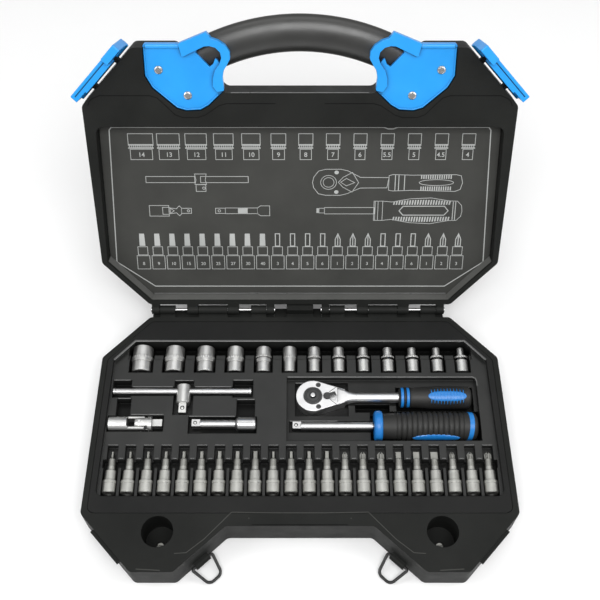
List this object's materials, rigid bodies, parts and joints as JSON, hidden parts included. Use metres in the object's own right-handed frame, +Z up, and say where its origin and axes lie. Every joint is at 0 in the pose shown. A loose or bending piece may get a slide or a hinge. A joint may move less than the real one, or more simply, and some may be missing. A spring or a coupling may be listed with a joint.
{
  "type": "socket wrench set in case",
  "caption": "Open two-part carrying case with a fitted tray of sockets, bit sockets, ratchet, spinner handle, sliding bar, universal joint and extension bar.",
  "frame": {"origin": "middle of the base underside, half way between the front of the feet and the lid hinge axis", "axes": "+X to the right, +Y from the feet towards the lid hinge, +Z up, case open"},
  "size_m": [0.3682, 0.3866, 0.2559],
  "materials": {
    "case_plastic": "textured",
    "tray_plastic": "satin",
    "panel_plastic": "satin",
    "blue_plastic": "satin",
    "black_steel": "satin",
    "screw_steel": "satin",
    "chrome_steel": "satin",
    "dark_steel": "satin",
    "grip_rubber": "matte",
    "trim_plastic": "gloss"
  },
  "bodies": {
    "base": {"base_shell": "case_plastic", "tray_insert": "tray_plastic", "tray_screws": "screw_steel", "hinge_pin_left": "screw_steel", "hinge_pin_right": "screw_steel"},
    "lid": {"lid_shell": "case_plastic", "lid_panel": "panel_plastic", "carry_handle": "case_plastic", "handle_bracket_left": "blue_plastic", "handle_bracket_right": "blue_plastic", "bracket_rivets": "screw_steel", "latch_pin_left": "screw_steel", "latch_pin_right": "screw_steel"},
    "latch_left": {"latch_left": "blue_plastic"},
    "latch_right": {"latch_right": "blue_plastic"},
    "wire_bail_left": {"wire_bail_left": "black_steel"},
    "wire_bail_right": {"wire_bail_right": "black_steel"},
    "t_bar": {"t_bar_rod": "chrome_steel"},
    "t_bar_slider": {"t_bar_head": "chrome_steel"},
    "uj_socket_end": {"uj_socket_fork": "chrome_steel"},
    "uj_cross": {"uj_cross": "screw_steel"},
    "uj_drive_end": {"uj_drive_fork": "chrome_steel"},
    "extension": {"extension_bar": "chrome_steel"},
    "ratchet": {"ratchet_body": "chrome_steel", "ratchet_screws": "dark_steel", "ratchet_grip": "grip_rubber", "ratchet_trim": "trim_plastic"},
    "ratchet_drive": {"ratchet_drive": "chrome_steel"},
    "ratchet_button": {"ratchet_button": "chrome_steel"},
    "ratchet_lever": {"ratchet_lever": "chrome_steel"},
    "spinner": {"spinner_shaft_bar": "chrome_steel", "spinner_grip_handle": "grip_rubber", "spinner_trim": "trim_plastic"},
    "socket_01": {"socket_01": "chrome_steel"},
    "socket_02": {"socket_02": "chrome_steel"},
    "socket_03": {"socket_03": "chrome_steel"},
    "socket_04": {"socket_04": "chrome_steel"},
    "socket_05": {"socket_05": "chrome_steel"},
    "socket_06": {"socket_06": "chrome_steel"},
    "socket_07": {"socket_07": "chrome_steel"},
    "socket_08": {"socket_08": "chrome_steel"},
    "socket_09": {"socket_09": "chrome_steel"},
    "socket_10": {"socket_10": "chrome_steel"},
    "socket_11": {"socket_11": "chrome_steel"},
    "socket_12": {"socket_12": "chrome_steel"},
    "socket_13": {"socket_13": "chrome_steel"},
    "bits_torx": {"bit_holders_torx": "chrome_steel", "bits_torx": "dark_steel"},
    "bits_hex": {"bit_holders_hex": "chrome_steel", "bits_hex": "dark_steel"},
    "bits_phillips": {"bit_holders_phillips": "chrome_steel", "bits_phillips": "dark_steel"},
    "bits_slotted": {"bit_holders_slotted": "chrome_steel", "bits_slotted": "dark_steel"},
    "bits_pozidriv": {"bit_holders_pozidriv": "chrome_steel", "bits_pozidriv": "dark_steel"}
  },
  "joints": [
    {"name": "lid_hinge", "type": "hinge", "parent": "base", "child": "lid", "pos_m": [0, 0.1192, 0.0353], "axis": [-1, 0, 0], "range_deg": [-120, 0]},
    {"name": "latch_right_hinge", "type": "hinge", "parent": "lid", "child": "latch_right", "pos_m": [0.15923, 0.2342, 0.22028], "axis": [-0.6803, 0.3665, 0.6347], "range_deg": [-5, 88]},
    {"name": "latch_left_hinge", "type": "hinge", "parent": "lid", "child": "latch_left", "pos_m": [-0.15923, 0.2342, 0.22028], "axis": [-0.6803, -0.3665, -0.6347], "range_deg": [-5, 88]},
    {"name": "bail_right_hinge", "type": "hinge", "parent": "base", "child": "wire_bail_right", "pos_m": [0.07962, -0.10362, 0.0086], "axis": [0.7341, -0.679, 0], "range_deg": [-105, 0]},
    {"name": "bail_left_hinge", "type": "hinge", "parent": "base", "child": "wire_bail_left", "pos_m": [-0.07962, -0.10362, 0.0086], "axis": [0.7341, 0.679, 0], "range_deg": [-105, 0]},
    {"name": "socket_01_lift", "type": "slide", "parent": "base", "child": "socket_01", "axis": [0, 0, 1], "range_m": [0, 0.06]},
    {"name": "socket_02_lift", "type": "slide", "parent": "base", "child": "socket_02", "axis": [0, 0, 1], "range_m": [0, 0.06]},
    {"name": "socket_03_lift", "type": "slide", "parent": "base", "child": "socket_03", "axis": [0, 0, 1], "range_m": [0, 0.06]},
    {"name": "socket_04_lift", "type": "slide", "parent": "base", "child": "socket_04", "axis": [0, 0, 1], "range_m": [0, 0.06]},
    {"name": "socket_05_lift", "type": "slide", "parent": "base", "child": "socket_05", "axis": [0, 0, 1], "range_m": [0, 0.06]},
    {"name": "socket_06_lift", "type": "slide", "parent": "base", "child": "socket_06", "axis": [0, 0, 1], "range_m": [0, 0.06]},
    {"name": "socket_07_lift", "type": "slide", "parent": "base", "child": "socket_07", "axis": [0, 0, 1], "range_m": [0, 0.06]},
    {"name": "socket_08_lift", "type": "slide", "parent": "base", "child": "socket_08", "axis": [0, 0, 1], "range_m": [0, 0.06]},
    {"name": "socket_09_lift", "type": "slide", "parent": "base", "child": "socket_09", "axis": [0, 0, 1], "range_m": [0, 0.06]},
    {"name": "socket_10_lift", "type": "slide", "parent": "base", "child": "socket_10", "axis": [0, 0, 1], "range_m": [0, 0.06]},
    {"name": "socket_11_lift", "type": "slide", "parent": "base", "child": "socket_11", "axis": [0, 0, 1], "range_m": [0, 0.06]},
    {"name": "socket_12_lift", "type": "slide", "parent": "base", "child": "socket_12", "axis": [0, 0, 1], "range_m": [0, 0.06]},
    {"name": "socket_13_lift", "type": "slide", "parent": "base", "child": "socket_13", "axis": [0, 0, 1], "range_m": [0, 0.06]},
    {"name": "t_bar_lift", "type": "slide", "parent": "base", "child": "t_bar", "axis": [0, 0, 1], "range_m": [0, 0.06]},
    {"name": "t_bar_head_slide", "type": "slide", "parent": "t_bar", "child": "t_bar_slider", "axis": [1, 0, 0], "range_m": [-0.002, 0.002]},
    {"name": "uj_lift", "type": "slide", "parent": "base", "child": "uj_socket_end", "axis": [0, 0, 1], "range_m": [0, 0.06]},
    {"name": "uj_bend", "type": "hinge", "parent": "uj_socket_end", "child": "uj_cross", "pos_m": [-0.1374, 0.0095, 0.027], "axis": [0, -1, 0], "range_deg": [0, 40]},
    {"name": "uj_swing", "type": "hinge", "parent": "uj_cross", "child": "uj_drive_end", "pos_m": [-0.1374, 0.0095, 0.027], "axis": [0, 0, 1], "range_deg": [-5, 5]},
    {"name": "extension_lift", "type": "slide", "parent": "base", "child": "extension", "axis": [0, 0, 1], "range_m": [0, 0.06]},
    {"name": "ratchet_lift", "type": "slide", "parent": "base", "child": "ratchet", "axis": [0, 0, 1], "range_m": [0, 0.06]},
    {"name": "ratchet_drive_spin", "type": "hinge", "parent": "ratchet", "child": "ratchet_drive", "pos_m": [0.0112, 0.0349, 0.0265], "axis": [0, 0, 1], "continuous": true},
    {"name": "ratchet_button_press", "type": "slide", "parent": "ratchet_drive", "child": "ratchet_button", "axis": [0, 0, -1], "range_m": [0, 0.0015]},
    {"name": "ratchet_lever_swing", "type": "hinge", "parent": "ratchet", "child": "ratchet_lever", "pos_m": [0.0236, 0.0349, 0.0265], "axis": [0, 0, 1], "range_deg": [-40, 0]},
    {"name": "spinner_lift", "type": "slide", "parent": "base", "child": "spinner", "axis": [0, 0, 1], "range_m": [0, 0.06]},
    {"name": "bits_torx_lift", "type": "slide", "parent": "base", "child": "bits_torx", "axis": [0, 0, 1], "range_m": [0, 0.06]},
    {"name": "bits_hex_lift", "type": "slide", "parent": "base", "child": "bits_hex", "axis": [0, 0, 1], "range_m": [0, 0.06]},
    {"name": "bits_phillips_lift", "type": "slide", "parent": "base", "child": "bits_phillips", "axis": [0, 0, 1], "range_m": [0, 0.06]},
    {"name": "bits_slotted_lift", "type": "slide", "parent": "base", "child": "bits_slotted", "axis": [0, 0, 1], "range_m": [0, 0.06]},
    {"name": "bits_pozidriv_lift", "type": "slide", "parent": "base", "child": "bits_pozidriv", "axis": [0, 0, 1], "range_m": [0, 0.06]}
  ]
}
